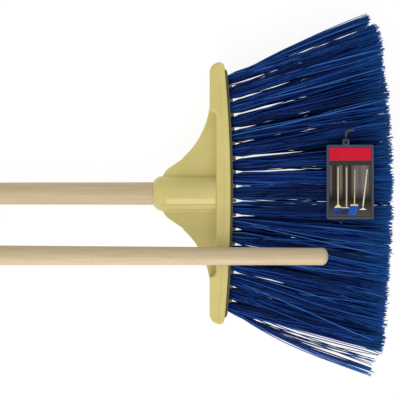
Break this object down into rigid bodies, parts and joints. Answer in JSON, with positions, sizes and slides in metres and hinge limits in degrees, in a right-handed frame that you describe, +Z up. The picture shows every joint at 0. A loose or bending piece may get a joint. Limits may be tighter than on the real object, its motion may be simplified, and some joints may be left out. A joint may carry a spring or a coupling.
{
  "type": "fan broom",
  "caption": "Fan broom with a moulded head, three rows of splayed filament tufts, a two-section wooden handle and a hang tag, laid flat.",
  "frame": {"origin": "on the floor, under the middle of the object's bounding box", "axes": "+X along the handle towards the bristle tips, +Y along the head, +Z up, away from the floor the broom lies on"},
  "size_m": [0.837, 0.3846, 0.0833],
  "materials": {
    "head_plastic": "moulded polypropylene, satin",
    "block_plastic": "moulded, matt",
    "bristle": "bundles of drawn plastic filament, mostly air between them",
    "handle_wood": "turned and sanded hardwood, unvarnished",
    "sleeve_steel": "zinc plated tube",
    "rivet_metal": "as pressed",
    "tag_plastic": "moulded, semi gloss",
    "card": null,
    "hook_plastic": "moulded, satin"
  },
  "bodies": {
    "broom_head": {"head_shell": "head_plastic", "tuft_block": "block_plastic", "tuft_top_01": "bristle", "tuft_top_02": "bristle", "tuft_top_03": "bristle", "tuft_top_04": "bristle", "tuft_top_05": "bristle", "tuft_top_06": "bristle", "tuft_top_07": "bristle", "tuft_top_08": "bristle", "tuft_top_09": "bristle", "tuft_top_10": "bristle", "tuft_top_11": "bristle", "tuft_top_12": "bristle", "tuft_top_13": "bristle", "tuft_top_14": "bristle", "tuft_top_15": "bristle", "tuft_top_16": "bristle", "tuft_top_17": "bristle", "tuft_mid_01": "bristle", "tuft_mid_02": "bristle", "tuft_mid_03": "bristle", "tuft_mid_04": "bristle", "tuft_mid_05": "bristle", "tuft_mid_06": "bristle", "tuft_mid_07": "bristle", "tuft_mid_08": "bristle", "tuft_mid_09": "bristle", "tuft_mid_10": "bristle", "tuft_mid_11": "bristle", "tuft_mid_12": "bristle", "tuft_mid_13": "bristle", "tuft_mid_14": "bristle", "tuft_mid_15": "bristle", "tuft_mid_16": "bristle", "tuft_mid_17": "bristle", "tuft_low_01": "bristle", "tuft_low_02": "bristle", "tuft_low_03": "bristle", "tuft_low_04": "bristle", "tuft_low_05": "bristle", "tuft_low_06": "bristle", "tuft_low_07": "bristle", "tuft_low_08": "bristle", "tuft_low_09": "bristle", "tuft_low_10": "bristle", "tuft_low_11": "bristle", "tuft_low_12": "bristle", "tuft_low_13": "bristle", "tuft_low_14": "bristle", "tuft_low_15": "bristle", "tuft_low_16": "bristle", "tuft_low_17": "bristle"},
    "lower_handle": {"handle_lower": "handle_wood", "coupling_sleeve": "sleeve_steel", "sleeve_rivet": "rivet_metal"},
    "upper_handle": {"handle_upper": "handle_wood"},
    "tag_hook": {"tag_hook": "hook_plastic"},
    "hang_tag": {"tag_frame": "tag_plastic", "tag_card": "card"}
  },
  "joints": [
    {"name": "handle_pull", "type": "slide", "parent": "broom_head", "child": "lower_handle", "axis": [-0.9997, 0, -0.0245], "range_m": [0, 0.075]},
    {"name": "upper_lift", "type": "slide", "parent": "broom_head", "child": "upper_handle", "axis": [0, 0, 1], "range_m": [0, 0.15]},
    {"name": "tag_swing", "type": "hinge", "parent": "broom_head", "child": "tag_hook", "pos_m": [0.37331, 0.06605, 0.06567], "axis": [-0.0947, 0, 0.9955], "range_deg": [-30, 30]},
    {"name": "tag_flip", "type": "hinge", "parent": "tag_hook", "child": "hang_tag", "pos_m": [0.36474, 0.05575, 0.06485], "axis": [-0.9955, 0, -0.0947], "range_deg": [0, 140]}
  ]
}
